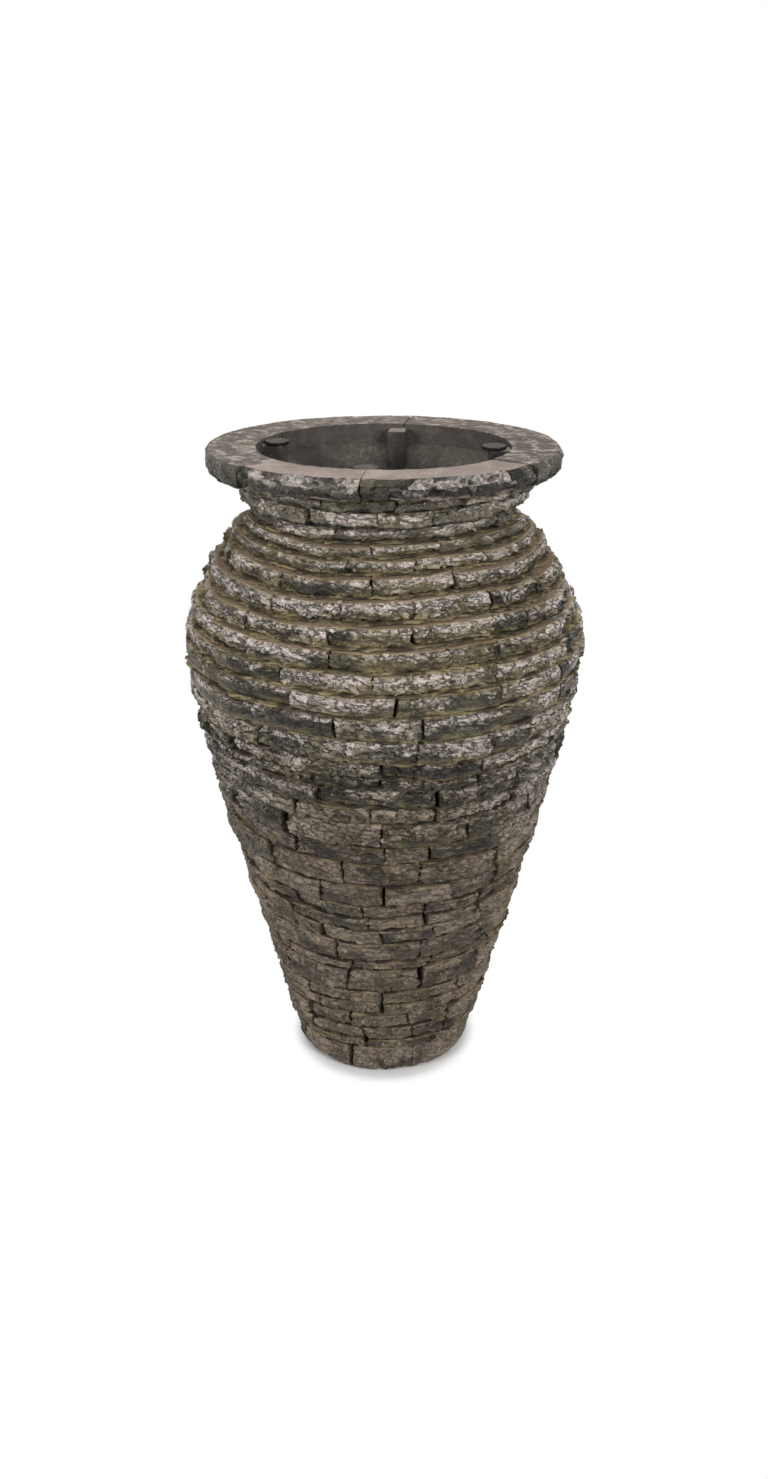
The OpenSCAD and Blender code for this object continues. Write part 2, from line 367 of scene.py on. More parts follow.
def hewn_tree():
    """Hewn and split rock: a swelling face, chips in two sizes, creases, thin layers and bitten edges."""
    sizes = {
        "Swell": 0.0035, "Chip width": 0.024, "Chip height": 0.013, "Chip depth": 0.0042,
        "Crease depth": 0.0022, "Layer depth": 0.0012, "Groove depth": 0.0010,
        "Grain depth": 0.0007, "Bite": 0.014, "Sunk": 0.0016, "Proud": 0.0,
    }
    tree, given = tree_with_inputs("hewn stone", sizes)
    place = read(tree, "flat", "FLOAT_VECTOR")
    free = read(tree, "free")
    edge = read(tree, "edge")

    wander = vector("SUBTRACT", noise(place, 80.0, 2.0, result="Color"), (0.5, 0.5, 0.5))
    bent = vector("ADD", place, vector("MULTIPLY", wander, (0.012, 0.006, 0.012)))

    swell = noise(place, (15.0, 26.0, 15.0), 2.0) - 0.5
    swell *= given["Swell"] * 2.0
    large, tone = scallops(bent, given["Chip width"], given["Chip height"], given["Chip depth"])
    small, small_tone = scallops(bent, given["Chip width"] / 2.9, given["Chip height"] / 2.5,
                                 given["Chip depth"] / 2.4)
    crease = creases(bent, (55.0, 105.0, 55.0)) - 0.35
    crease *= given["Crease depth"]
    layer = noise(place, (6.0, 190.0, 6.0), 2.0) - 0.5
    layer = step(layer, -0.1, 0.1, -0.5, 0.5) * given["Layer depth"]
    seam = cells(place, (5.0, 74.0, 5.0), "DISTANCE_TO_EDGE")["Distance"]
    groove = step(seam, 0.02, 0.13, 1.0, 0.0) * given["Groove depth"]
    grain = (noise(place, 260.0, 3.0) - 0.5) * given["Grain depth"]

    reach = (noise(place, 38.0, 2.0) - 0.42) * given["Bite"]
    bite = calc("MAXIMUM", (reach - edge) * 0.8, 0.0)

    out = large + small + (layer + grain)
    out += swell - crease
    back = groove + bite + given["Sunk"]
    move = calc("SMOOTH_MIN", out - back, given["Proud"], 0.002)
    move *= free

    outward = put(tree, "GeometryNodeInputNormal")[0]
    offset = scaled(outward, move)
    tones = tone * 0.6 + small_tone * 0.4
    mesh = given["Geometry"]
    for name, value in {"tone": tones, "deep": move}.items():
        mesh = put(tree, "GeometryNodeStoreNamedAttribute",
                   {"Geometry": mesh, "Name": name, "Value": value}, data_type="FLOAT", domain="POINT")[0]
    moved = put(tree, "GeometryNodeSetPosition", {"Geometry": mesh, "Offset": offset})[0]
    end_tree(tree, moved, given)
    return tree


def laid_by_hand(points):
    """Courses that wander gently up and down, less towards the foot and the coping."""
    turn = np.arctan2(points[:, 0], -points[:, 1])
    height = points[:, 2]
    wave = np.sin(2 * turn + 7.1 * height + 0.4) + 0.8 * np.sin(3 * turn - 11.3 * height + 2.0)
    wave = wave + 0.6 * np.sin(5 * turn + 17.0 * height + 1.1) + 0.35 * np.sin(9 * turn - 23.0 * height)
    fade = np.clip(height / FOOT_FADE, 0, 1) * np.clip((COPING_LEVEL - height) / COPING_FADE, 0, 1)
    fade = fade * (1 + 0.3 * np.clip((0.42 - height) / QUIET_FADE, 0, 1))
    return points + np.stack((0 * wave, 0 * wave, wave * WANDER * fade), -1)


def section(height, side, depth, cell):
    """One turn round a stone's cross-section from its back foot: depth behind the face, height, and distance
    to an edge. side is how much of the top and bottom has points close together."""
    side_steps = max(1, round(side / cell))
    front_steps = max(3, round(height / cell))
    behind = np.append(side * np.arange(1, side_steps + 1) / side_steps, depth)
    up = height * np.arange(front_steps + 1) / front_steps
    depths = np.concatenate((behind[::-1], np.zeros(front_steps + 1), behind))
    heights = np.concatenate((np.zeros(len(behind)), up, np.full(len(behind), height)))
    to_edge = np.concatenate((behind[::-1], np.minimum(up, height - up), behind))
    return depths, heights, to_edge


def rounded_end(turn, length, size):
    """How far a face draws back near the ends of a block, for a turn from -1 to 1 along it."""
    near = np.clip((abs(turn) * length - (length - size)) / size, 0, 1)
    return size * (1 - np.sqrt(1 - 0.98 * near**2))


def pattern_space(along, up, out, shift):
    """The place that the rock's patterns are read at: along, up and out of a face, a little askew so that no
    face lies along the patterns' own grid."""
    along, up, out = np.broadcast_arrays(along, up, out)
    skewed_up = up + 0.05 * along + shift[1]
    skewed_out = out + 0.37 * along + 0.43 * up + shift[2]
    return np.stack((along + shift[0], skewed_up, skewed_out), -1)


def stone(block, open_top, open_foot, low, slope, random):
    """A stone's points, its faces and the values that the hewn tree reads. low is 1 in the quiet lower
    courses, and slope is how much further out the face stands at its top than at its foot."""
    height = block.top - block.bottom
    depth = block.face - block.back
    side = min(max(open_top, open_foot, 0.003) + 0.003, depth * 0.8)
    depths, heights, to_edge = section(height, side, depth, STONE_CELL)
    half_length = block.half * block.face
    columns = max(5, round(2 * half_length / STONE_CELL) + 1)
    turn = np.linspace(-1, 1, columns)[:, None]
    slant = np.where(turn < 0, block.start_slant, block.end_slant) * abs(turn)
    angle = block.middle + block.half * turn + slant * (heights / height - 0.5)

    yaw, lean = random.uniform(-1, 1, 2) * (0.0042 - 0.0030 * low, 0.0026 - 0.0016 * low)
    end_sizes = random.uniform(*END_ROUND, 2)
    drawn = rounded_end(turn, half_length, np.where(turn < 0, *end_sizes)) + yaw * turn + abs(yaw)
    set_back = random.uniform(-0.0010, 0.0020 - 0.0010 * low)
    drawn = drawn + abs(lean) / 2 + lean * (heights / height - 0.5) + set_back
    edge_round = EDGE_ROUND * (1 - 0.75 * low)
    drawn = drawn - slope * (heights / height - 0.5)
    at_corner = (to_edge < 1e-6) * edge_round * 0.3
    inward = np.where(depths < 1e-9, to_edge, 0)
    drawn = drawn + edge_round * np.clip(1 - inward / 0.008, 0, 1) ** 2
    radius = block.face - drawn - depths - at_corner
    if block.low_face < block.face - 0.006:
        rise = np.clip(heights / (block.bevel_top - block.bottom), 0, 1)
        radius = np.minimum(radius, block.low_face + (block.face - block.low_face) * np.sqrt(rise) - depths)
    back = block.back / np.cos(block.half * turn)
    is_back = depths >= depth - 1e-9
    radius = np.where(is_back, back, np.maximum(radius, back + 0.0005))
    middle_up = heights - height / 2
    inset = np.sign(middle_up) * at_corner
    waves, phase = random.uniform(1.0, 2.6, 2), random.uniform(0, 6.3, 2)
    sag = np.sin(waves[0] * turn + phase[0]) + 0.5 * np.sin(2.7 * waves[1] * turn + phase[1])
    level = block.bottom + heights - inset - (sag + 1.5) * TOP_SAG * (heights / height) ** 2

    is_top = (heights >= height - 1e-9) & (depths > 0)
    is_foot = (heights <= 1e-9) & (depths > 0)
    shown = np.where(is_top, open_top, np.where(is_foot, open_foot, 1.0))
    on_bed = 0.22 + 0.78 * np.clip(1 - depths / 0.005, 0, 1) ** 2
    free = np.where(is_top | is_foot, np.clip((shown + 0.001 - depths) / 0.002, 0, 1) * on_bed, 1.0)
    free = np.where(is_back, 0.0, free) + 0 * turn
    ends = (1 - abs(turn)) * half_length
    edge = np.minimum(to_edge, ends + 0.002)

    shift = random.uniform(0, 9, 3) * (low < 0.6)
    points = on_ring(angle + 0 * depths, radius, level)
    flat = pattern_space(angle * (0.2 if low > 0.6 else block.face), level, -depths, shift)
    rows = len(depths)
    faces = grid_faces(columns, rows)
    faces.append(list(range(rows)))
    faces.append(list(range(columns * rows - 1, (columns - 1) * rows - 1, -1)))
    values = {
        "flat": flat.reshape(-1, 3), "free": free.ravel(), "edge": edge.ravel(),
        "stone": np.full(free.size, random.uniform()), "ledge": (is_top + 0 * turn).ravel().astype(float),
        "rise": (heights / height + 0 * turn).ravel(),
    }
    return points.reshape(-1, 3), faces, values


def close_joints(blocks, face, low, random):
    """Narrows the usual joints between the stones of a course to hairlines and leaves the wide ones and a few
    others open; each joint also gets a slant of its own."""
    blocks = sorted(blocks, key=lambda one: one.middle)
    ends = [[block.middle - block.half, block.middle + block.half] for block in blocks]
    for number, block in enumerate(blocks):
        after = (number + 1) % len(blocks)
        lap = 2 * math.pi if after == 0 else 0
        gap = (ends[after][0] + lap - ends[number][1]) * face
        kept = np.interp(gap, JOINT_SIZES, JOINT_KEPT)
        if gap > WIDE_JOINT:
            kept = min(1.0, kept * (1 + 2.8 * low))
        elif random.uniform() < 0.6 * low:
            kept = kept * 0.2
        behind = math.cos(ends[number][1]) < 0.45
        way = random.choice((-1, 1))
        wedge = way * (WEDGE if random.uniform() < 0.12 * low + 0.10 * behind else 0.0)
        left = max(JOINT_LEFT, gap * kept, abs(wedge) / 2 + JOINT_LEFT)
        spare = (gap - left) / 2 / face
        blocks[number].end = ends[number][1] + spare
        blocks[after].start = ends[after][0] - spare
        slant = random.uniform(-1, 1) * (0.0022 + 0.0030 * low) / face
        blocks[number].end_slant = slant - wedge / 2 / face
        blocks[after].start_slant = slant + wedge / 2 / face
    for block in blocks:
        block.half = (block.end - block.start) / 2
        block.middle = (block.end + block.start) / 2
    return blocks


def joined(pieces):
    """Points, faces and values of several pieces as one mesh."""
    points, faces, values = [], [], {}
    start = 0
    for piece_points, piece_faces, piece_values in pieces:
        points.append(piece_points)
        faces.extend([[corner + start for corner in face] for face in piece_faces])
        for key, numbers in piece_values.items():
            values.setdefault(key, []).append(numbers)
        start += len(piece_points)
    return np.concatenate(points), faces, {key: np.concatenate(parts) for key, parts in values.items()}


def slab(block, tone, bevel_size, undercut, random):
    """A coping slab's points, its faces and the values that the hewn tree reads. The section goes round from
    the foot of the mouth's edge, up it, over the top, down the hewn face and back under. tone goes from 0,
    pale, to 1, dark. bevel_size is the width of the bevel along the top's outer edge, and undercut is how far
    the face's foot draws back."""
    height = block.top - block.bottom
    width = block.face - block.inner
    bevel = (width - bevel_size, height), (width, height - 1.2 * bevel_size)
    hewn = [*bevel, (width - 0.001, undercut), (width - undercut, 0.0)]
    corners = [(0.0, 0.0), (0.0, height), *hewn, (0.0, 0.0)]
    loop, side = [], []
    for number, (first, last) in enumerate(zip(corners, corners[1:])):
        count = max(3, round(math.dist(first, last) / SLAB_CELL))
        part = np.linspace(first, last, count + 1)[:-1]
        loop.append(part)
        side.append(np.full(count, number))
    loop, side = np.concatenate(loop), np.concatenate(side)
    out, rise = loop[:, 0], loop[:, 1]
    is_top, is_foot = side == 1, side == 5
    is_face = (side >= 2) & (side <= 4)
    face_length = math.dist(bevel[0], bevel[1]) + bevel[1][1]
    down = np.where(side == 2, np.hypot(out - bevel[0][0], height - rise), face_length - rise)
    to_edge = np.where(is_face, down, np.where(is_top, bevel[0][0] - out, 1.0))
    at_mouth = is_top & (out < 1e-9)
    radius = block.inner + out + MOUTH_ROUND * at_mouth
    level = block.bottom + rise - MOUTH_ROUND * at_mouth

    half_length = block.half * block.face
    columns = max(9, round(2 * half_length / SLAB_CELL) + 1)
    turn = np.linspace(-1, 1, columns)[:, None]
    angle = block.middle + block.half * turn
    drawn = rounded_end(turn, half_length, 0.0015) * 0.5
    radius = radius - np.where(is_face, drawn, 0)
    near_face = is_face | (is_foot & (width - out < SHOWN_FOOT))
    low_down = np.clip((0.75 * height - rise) / (0.45 * height), 0, 1) * near_face
    for turned_to, spread, hollow in FACE_HOLLOWS:
        near_middle = np.clip(1 - ((angle - turned_to) / spread) ** 2, 0, 1)
        radius = radius - hollow * np.sqrt(near_middle) * low_down
    level = level - np.where(is_top, rounded_end(turn, half_length, 0.001) * 0.4, 0)
    tip = random.uniform(-0.0005, 0.0005)
    level = level - np.where(is_top, abs(tip) + tip * turn + 0.0003, 0)

    near = np.clip(1 - to_edge / 0.005, 0, 1) ** 2
    face_free = 0.15 + 0.85 * np.clip(to_edge / 0.009, 0, 1)
    free = np.where(is_face, face_free, np.where(is_top, 0.08 + 0.07 * near, 0.2))
    free = free * np.where(is_face, 0.35 + 0.65 * np.clip((1 - abs(turn)) * half_length / 0.012, 0, 1), 1)
    free = np.where(is_foot, np.where(width - out < SHOWN_FOOT, 0.25, 0.0), free) + 0 * turn
    edge = np.where(is_foot, width - out, to_edge)
    edge = np.minimum(edge, (1 - abs(turn)) * half_length + 0.006)
    shift = random.uniform(0, 9, 3)
    wrapped = np.where(is_face, -down, np.where(is_top, to_edge, 0.1 + rise))
    flat = pattern_space(angle * block.face, wrapped, out, shift)
    rows = len(loop)
    faces = [face[::-1] for face in grid_faces(columns, rows)]
    faces.append(list(range(rows))[::-1])
    faces.append(list(range((columns - 1) * rows, columns * rows)))
    values = {
        "flat": flat.reshape(-1, 3), "free": free.ravel(), "edge": edge.ravel(),
        "stone": np.full(free.size, tone), "ledge": (is_top + 0 * turn).ravel().astype(float),
        "hewn": (is_face + 0 * turn).ravel().astype(float),
    }
    return on_ring(angle + 0 * out, radius, level).reshape(-1, 3), faces, values


def turned(name, profile, steps, centre=(0.0, 0.0), wave=None):
    """A closed body turned round an upright axis; the profile of (radius, height) goes up the outside. Where
    it ends on the axis the body closes in one point. wave gives a change of radius from angle and height."""
    radii, heights = np.array(profile).T
    turn = np.linspace(0, 2 * math.pi, steps, endpoint=False)[:, None]
    on_axis = radii < 1e-6
    rows = int((~on_axis).sum())
    radius = radii[~on_axis] + (wave(turn, heights[~on_axis]) if wave else 0 * turn)
    points = on_ring(turn + 0 * radius, radius, heights[~on_axis] + 0 * turn).reshape(-1, 3)
    faces = grid_faces(steps, rows, wrap_rows=not on_axis.any(), wrap_columns=True)
    for end, row in ((0, 0), (-1, rows - 1)):
        if on_axis[end]:
            points = np.append(points, [[0, 0, heights[end]]], axis=0)
            ring = [column * rows + row for column in range(steps)]
            pairs = zip(ring, ring[1:] + ring[:1])
            tip = len(points) - 1
            faces += [[tip, b, a] if row == 0 else [tip, a, b] for a, b in pairs]
    points = points + (*centre, 0)
    return add_mesh(name, points, faces)


def ripple(turn, height, seed, size):
    """A gentle unevenness round the urn, from a few waves that close on themselves."""
    random = np.random.default_rng(seed)
    total = 0 * turn * height
    for _ in range(RIPPLE_WAVES):
        waves = random.integers(3, 120)
        pitch, phase = random.uniform(-260, 260), random.uniform(0, 6.3)
        total = total + np.sin(waves * turn + pitch * height + phase) / (1 + waves / 30)
    return size * total / 4


def edge_levels(names):
    """The inner and outer radius of some CAD nodes at each level where they have points."""
    points = np.concatenate([np.array([v.co for v in NODES[name].data.vertices]) for name in names])
    levels = np.unique(np.round(points[:, 2], 5))
    radius = radius_of(points)
    near = [abs(points[:, 2] - level) < 2e-5 for level in levels]
    return levels, np.array([radius[n].min() for n in near]), np.array([radius[n].max() for n in near])


def keep_above_ground(piece):
    """Lifts the few points that the relief has pushed under the ground."""
    places = np.empty(len(piece.data.vertices) * 3)
    piece.data.vertices.foreach_get("co", places)
    places[2::3] = np.clip(places[2::3], 0.0, None)
    piece.data.vertices.foreach_set("co", places)
    piece.data.update()


def finish_piece(piece, material, nodes):
    """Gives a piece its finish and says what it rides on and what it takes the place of."""
    piece.data.materials.clear()
    piece.data.materials.append(material)
    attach(piece, "root")
    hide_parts(*nodes)


def new_material(name):
    """A material with its principled shader; returns the material, its tree and the shader node."""
    material = bpy.data.materials.new(name)
    material.use_nodes = True
    tree = material.node_tree
    return material, tree, tree.nodes["Principled BSDF"]


def mix(factor, first, second, blend="MIX"):
    """Two colours mixed."""
    inputs = {"Factor": factor, 6: first, 7: second}
    return put(tree_of(inputs.values()), "ShaderNodeMix", inputs, data_type="RGBA", blend_type=blend)[2]


def mix_level(factor, first, second):
    """Goes from the first level to the second as the factor goes from 0 to 1."""
    return calc("MULTIPLY_ADD", factor, second - first, first)


def carried(tree, name, result="Fac"):
    """A value that the mesh carries, in a material."""
    return put(tree, "ShaderNodeAttribute", attribute_name=name)[result]


def surface(tree):
    """Where a point of a surface lies, its height, and how far it faces up, from -1 to 1."""
    place = put(tree, "ShaderNodeTexCoord")["Object"]
    normal = put(tree, "ShaderNodeNewGeometry")["Normal"]
    return place, axis(place, 2), axis(normal, 2)


def bump(height, distance, **under):
    """The shading normal of a relief, over the Normal of a coarser one where that is given."""
    return put(height.tree, "ShaderNodeBump", {"Height": height, "Distance": distance, **under})[0]


def crumple(place, size):
    """Fine relief of freshly split rock, from 0 to about 1, with flats of about a size in metres."""
    turned_place = vector("MULTIPLY", noise(place, 0.35 / size, 3.0, result="Color"), 3 * (1.1 * size,))
    turned_place = vector("ADD", place, turned_place)
    rate = 1.0 / size
    cell = cells(turned_place, (rate, rate * 1.5, rate))
    lean = vector("SUBTRACT", cell["Color"], (0.5, 0.5, 0.5))
    away = vector("SUBTRACT", vector("MULTIPLY", turned_place, (rate, rate * 1.5, rate)), cell["Position"])
    tilt = vector("DOT_PRODUCT", away, lean, result=1)
    crease = creases(place, (rate * 0.55, rate * 0.9, rate * 0.55), 3.0)
    return tilt * 0.9 - crease * 0.6


def slate_material():
    """Split slate: glossy crumpled faces from charcoal to pale lilac-grey, with painted highlights on the
    relief, smooth brown ledges with painted highlights along their edges, yellow-olive growth along the edges
    and at the foot of each face, duller purple-brown faces low down, painted shade in the hollows and under the
    coping, painted light on the neck and the lower sides, and a warmer, darker tint on the front of the middle
    courses."""
    material, tree, shader = new_material("hewn slate")
    place, height, upward = surface(tree)
    flat = carried(tree, "flat", "Vector")
    tone, deep, own = carried(tree, "tone"), carried(tree, "deep"), carried(tree, "stone")
    rise, edge = carried(tree, "rise"), carried(tree, "edge")
    low = step(height + noise(place, 6.0, 2.0) * 0.12, 0.36, 0.56, 1.0, 0.0)
    ledge = step(upward, 0.62, 0.86) * step(carried(tree, "ledge"), 0.2, 0.8)

    patches = noise(flat, 16.0, 4.0, 0.6)
    layers = noise(flat, (14.0, 330.0, 14.0), 5.0, 0.65)
    mottle = noise(flat, 240.0, 5.0, 0.7)
    relief = crumple(flat, 0.0072)
    fine = crumple(flat, 0.0034)
    sheen = noise(flat, (19.0, 36.0, 19.0), 2.0, 0.5)

    share = calc("MULTIPLY_ADD", own - 0.5, mix_level(low, 0.75, 0.45), 0.375)
    share += tone * 0.35
    share += (patches - 0.49) * 1.9
    dark = mix(low, paint(34, 33, 27), paint(58, 50, 40))
    fair = mix(low, paint(126, 116, 102), paint(118, 104, 88))
    colour = mix(step(share, 0.15, 0.85), dark, fair)
    warm = step(noise(flat, 10.0, 3.0), 0.44, 0.62, 0.1, 0.6)
    colour = mix(warm, colour, mix(low, paint(112, 104, 76), paint(100, 88, 66)))
    # Painted highlight: pale patches that follow the relief, painted lighter where the surface faces up and
    # towards the top of each face.
    pale = relief * 0.8 + fine * 0.55
    pale += upward * 0.5
    pale += (share - 0.5) * 1.1
    pale += (sheen - 0.5) * 3.0
    pale += step(rise, 0.25, 0.95, -0.3, 0.34) * mix_level(low, 1.0, 0.5)
    painted_glint = step(pale, -0.28, 0.36) * mix_level(low, 0.85, 0.52)
    colour = mix(painted_glint, colour, mix(low, paint(168, 157, 150), paint(144, 129, 112)))
    # Painted highlight: thin bright lines along the ridges of the relief.
    ridge = creases(flat, (105.0, 160.0, 105.0), 3.0)
    painted_ridge_highlight = step(ridge, 0.0, 0.32, 0.8, 0.0) * step(pale, -0.2, 0.4)
    painted_ridge_highlight *= mix_level(low, 1.0, 0.7)
    colour = mix(painted_ridge_highlight, colour, mix(low, paint(212, 202, 196), paint(168, 153, 138)))
    crack = creases(vector("ADD", flat, (3.3, 1.7, 5.1)), (64.0, 140.0, 64.0), 4.0)
    split = step(crack, 0.03, 0.22, 1.0, 0.0) * mix_level(painted_glint, 1.0, 0.8)
    split *= mix_level(low, 1.0, 0.65)
    colour = mix(split, colour, mix(low, paint(24, 22, 17), paint(26, 21, 17)))
    # Painted shade: near black in the hollows and down-facing parts of the relief.
    painted_pit_shade = step(pale, -0.8, -0.36, 1.0, 0.0) * mix_level(low, 0.85, 0.55)
    colour = mix(painted_pit_shade, colour, mix(low, paint(20, 21, 16), paint(32, 26, 22)))
    colour = mix(step(layers, 0.54, 0.66, 0.0, 0.35), colour, paint(54, 50, 44))

    collar = step(height, 0.715, 0.745)
    # Painted shadow line at the foot of each face of the collar courses.
    painted_bed_shadow = calc("MULTIPLY_ADD", noise(flat, 60.0), 0.16, rise)
    painted_bed_shadow = collar * step(painted_bed_shadow, 0.16, 0.36, 0.97, 0.0)
    # Painted light: the neck courses are lightened towards a pale grey.
    painted_neck_light = step(height, 0.66, 0.76, 0.0, 0.36)
    colour = mix(painted_neck_light, colour, mix(0.5, colour, paint(168, 160, 142)))
    # Painted highlight along the top edge of each face.
    painted_lip_highlight = step(rise, 0.86, 0.98) * step(noise(flat, 26.0, 3.0), 0.44, 0.58)
    colour = mix(painted_lip_highlight * mix_level(low, 0.35, 0.7), colour, paint(150, 137, 108))
    growth = step(rise, 0.05, 0.45, 0.75, 0.0) + step(edge, 0.0, 0.003, 0.45, 0.0)
    growth *= step(noise(flat, 34.0, 4.0, 0.6), 0.38, 0.62)
    growth *= step(height, 0.4, 0.62, 0.35, 1.0)
    growth *= mix_level(collar, 1.0, 0.5)
    olive = mix(mottle, paint(84, 76, 50), paint(172, 158, 114))
    colour = mix(growth, colour, olive)
    film = step(noise(place, 7.0, 3.0), 0.42, 0.62) * step(height, 0.46, 0.64)
    film *= mix_level(collar, 1.0, 0.3)
    film *= step(painted_glint, 0.2, 0.7, 0.38, 0.1)
    colour = mix(film, colour, paint(128, 114, 82))
    dust = mix(step(patches, 0.35, 0.65), paint(120, 105, 80), paint(140, 119, 99))
    dust = mix(step(mottle, 0.48, 0.68, 0.0, 0.45), dust, paint(78, 66, 51))
    dust = mix(step(mottle, 0.3, 0.44, 0.4, 0.0), dust, paint(170, 154, 120))
    # Paler along the ledge's edge: partly pale dust, partly a painted highlight on the lit edge.
    dust = mix(step(edge, 0.0, 0.0045, 0.75, 0.0), dust, paint(184, 168, 126))
    lying = calc("MAXIMUM", step(noise(place, 30.0, 4.0, 0.6), 0.42, 0.62), 1.0 - low)
    dust = mix(lying, paint(50, 42, 36), dust)
    colour = mix(ledge * 0.92, colour, dust)
    # Painted shade: near black where the relief sinks deep and along the collar's shadow lines.
    painted_recess_shade = step(deep, -0.0095, -0.004, 0.85, 0.0)
    colour = mix(calc("MAXIMUM", painted_recess_shade, painted_bed_shadow), colour, paint(22, 20, 16))
    # A warmer, darker tint on the front of the middle courses.
    around = vector("NORMALIZE", vector("MULTIPLY", place, (1.0, 1.0, 0.0)))
    front = step(axis(around, 1), -0.93, -0.68, 1.0, 0.0)
    middle = step(height, 0.3, 0.37) * step(height, 0.44, 0.54, 1.0, 0.0)
    front_middle_tint = middle * front
    colour = mix(front_middle_tint, colour, (0.86, 0.81, 0.72, 1.0), "MULTIPLY")
    # Painted shadow of the coping over the top courses.
    colour = mix(step(height, 0.76, 0.784, 0.0, 0.85), colour, (0.62, 0.6, 0.55, 1.0), "MULTIPLY")
    # Lighter towards the shoulder and darker low down; below the belly the sides get painted side light,
    # lighter than the front.
    level = step(height, 0.44, 0.6, 0.87, 1.23) + step(height, 0.57, 0.65, 0.0, 0.16)
    level -= step(height, 0.14, 0.28, 0.0, 0.08)
    beside = (1.0 - front) * step(height, 0.5, 0.6, 0.3, 0.0)
    level = calc("MULTIPLY_ADD", level, beside, level)
    set_inputs(tree, shader, {"Base Color": scaled(colour, level), "Specular IOR Level": STONE_SPECULAR})

    gloss = low * 0.24 + ledge * 0.35
    gloss += step(patches, 0.3, 0.7, 0.3, 0.46)
    set_inputs(tree, shader, {"Roughness": gloss + step(mottle, 0.35, 0.65, -0.05, 0.12)})
    depth = (1.0 - ledge * 0.85) * mix_level(low, 1.0, 0.6)
    relief -= split * 0.6
    coarse = bump(relief * depth, 0.003)
    middle = bump(fine * depth, 0.0013, Normal=coarse)
    set_inputs(tree, shader, {"Normal": bump(mottle + layers * 0.6, 0.0006, Normal=middle)})
    return material


def coping_material():
    """Paler pink-grey slate of the coping, with fine cracks, painted shade on its sides that don't face up, and
    a glossy hewn face with painted highlights and painted shade at its foot.
    """
    material, tree, shader = new_material("coping slate")
    place, height, upward = surface(tree)
    flat = carried(tree, "flat", "Vector")
    tone, deep, own = carried(tree, "tone"), carried(tree, "deep"), carried(tree, "stone")
    hewn = step(carried(tree, "hewn"), 0.3, 0.7)

    clouds = noise(place, 22.0, 5.0, 0.6)
    mottle = noise(place, 210.0, 6.0, 0.7)
    relief = crumple(flat, 0.006)
    fine = crumple(flat, 0.003)
    top = mix(step(clouds, 0.36, 0.64), paint(130, 117, 108), paint(160, 144, 134))
    top = mix(own, top, paint(91, 82, 74))
    bend = vector("MULTIPLY", noise(place, 60.0, 4.0, result="Color"), (0.02, 0.02, 0.02))
    bent = vector("ADD", place, bend)
    crack = cells(bent, (26.0, 26.0, 26.0), "DISTANCE_TO_EDGE")["Distance"]
    line = step(crack, 0.0, 0.03, 1.0, 0.0) * step(clouds, 0.45, 0.6)
    top = mix(line * 0.5, top, paint(80, 70, 62))
    top = mix(step(mottle, 0.5, 0.7, 0.0, 0.45), top, paint(86, 77, 69))
    top = mix(step(mottle, 0.28, 0.4, 0.35, 0.0), top, paint(182, 170, 160))
    blots = step(noise(place, 48.0, 7.0, 0.72), 0.47, 0.57) * own
    top = mix(blots * 0.7, top, paint(66, 58, 50))
    bare = step(noise(bent, 62.0, 7.0, 0.72), 0.48, 0.6) * own
    top = mix(bare * 0.7, top, paint(186, 173, 160))
    rift = creases(vector("MULTIPLY", place, (1.0, 1.6, 1.0)), (22.0, 34.0, 22.0), 4.0)
    top = mix(step(rift, 0.0, 0.07, 0.8, 0.0) * own, top, paint(48, 41, 35))
    # Painted shade: darker where the slab doesn't face up, on its mouth edge, ends and underside.
    top = mix(step(upward, 0.3, 0.7, 0.9, 0.0), top, mix(clouds, paint(54, 49, 44), paint(92, 84, 78)))

    # Partly the chips' own tone, partly a painted highlight where the relief faces up.
    pale = relief * 0.45 + fine * 0.3
    pale += (upward - 0.25) * 0.6
    pale += (tone - 0.52) * 1.9
    pale -= own * 0.25
    base = mix(own, paint(42, 40, 35), paint(74, 67, 59))
    side = mix(step(pale, -0.65, 0.6), base, mix(own, paint(168, 157, 149), paint(132, 122, 112)))
    # Painted highlight along the ridges of the relief.
    ridge = creases(flat, (70.0, 110.0, 70.0), 3.0)
    painted_coping_highlight = step(ridge, 0.0, 0.25, 0.7, 0.0) * step(pale, -0.3, 0.2)
    side = mix(painted_coping_highlight, side, paint(212, 202, 195))
    crack_line = creases(vector("ADD", flat, (2.3, 4.7, 1.1)), (55.0, 80.0, 55.0), 4.0)
    side = mix(step(crack_line, 0.02, 0.15, 0.6, 0.0), side, paint(48, 44, 38))
    moss = step(noise(flat, 30.0, 4.0), 0.48, 0.66) * 0.45
    side = mix(moss, side, paint(96, 92, 64))
    # Painted shade at the foot of the hewn face, under its overhang.
    under = step(height + clouds * 0.012, 0.795, 0.806, 0.8, 0.0)
    side = mix(under, side, paint(42, 40, 34))
    colour = mix(hewn, top, side)
    # Painted shade where the relief sinks deep.
    painted_recess_shade = step(deep, -0.012, -0.006, 0.5, 0.0)
    colour = mix(painted_recess_shade, colour, paint(36, 33, 29))
    rough = mix_level(hewn, 0.62, 0.36) + step(mottle, 0.35, 0.65, -0.05, 0.1)
    depth = mix_level(hewn, 0.12, 1.0)
    coarse = bump(relief * depth, 0.0026)
    set_inputs(tree, shader, {
        "Base Color": colour, "Specular IOR Level": STONE_SPECULAR, "Roughness": rough,
        "Normal": bump(fine * depth + mottle, 0.0010, Normal=coarse),
    })
    return material


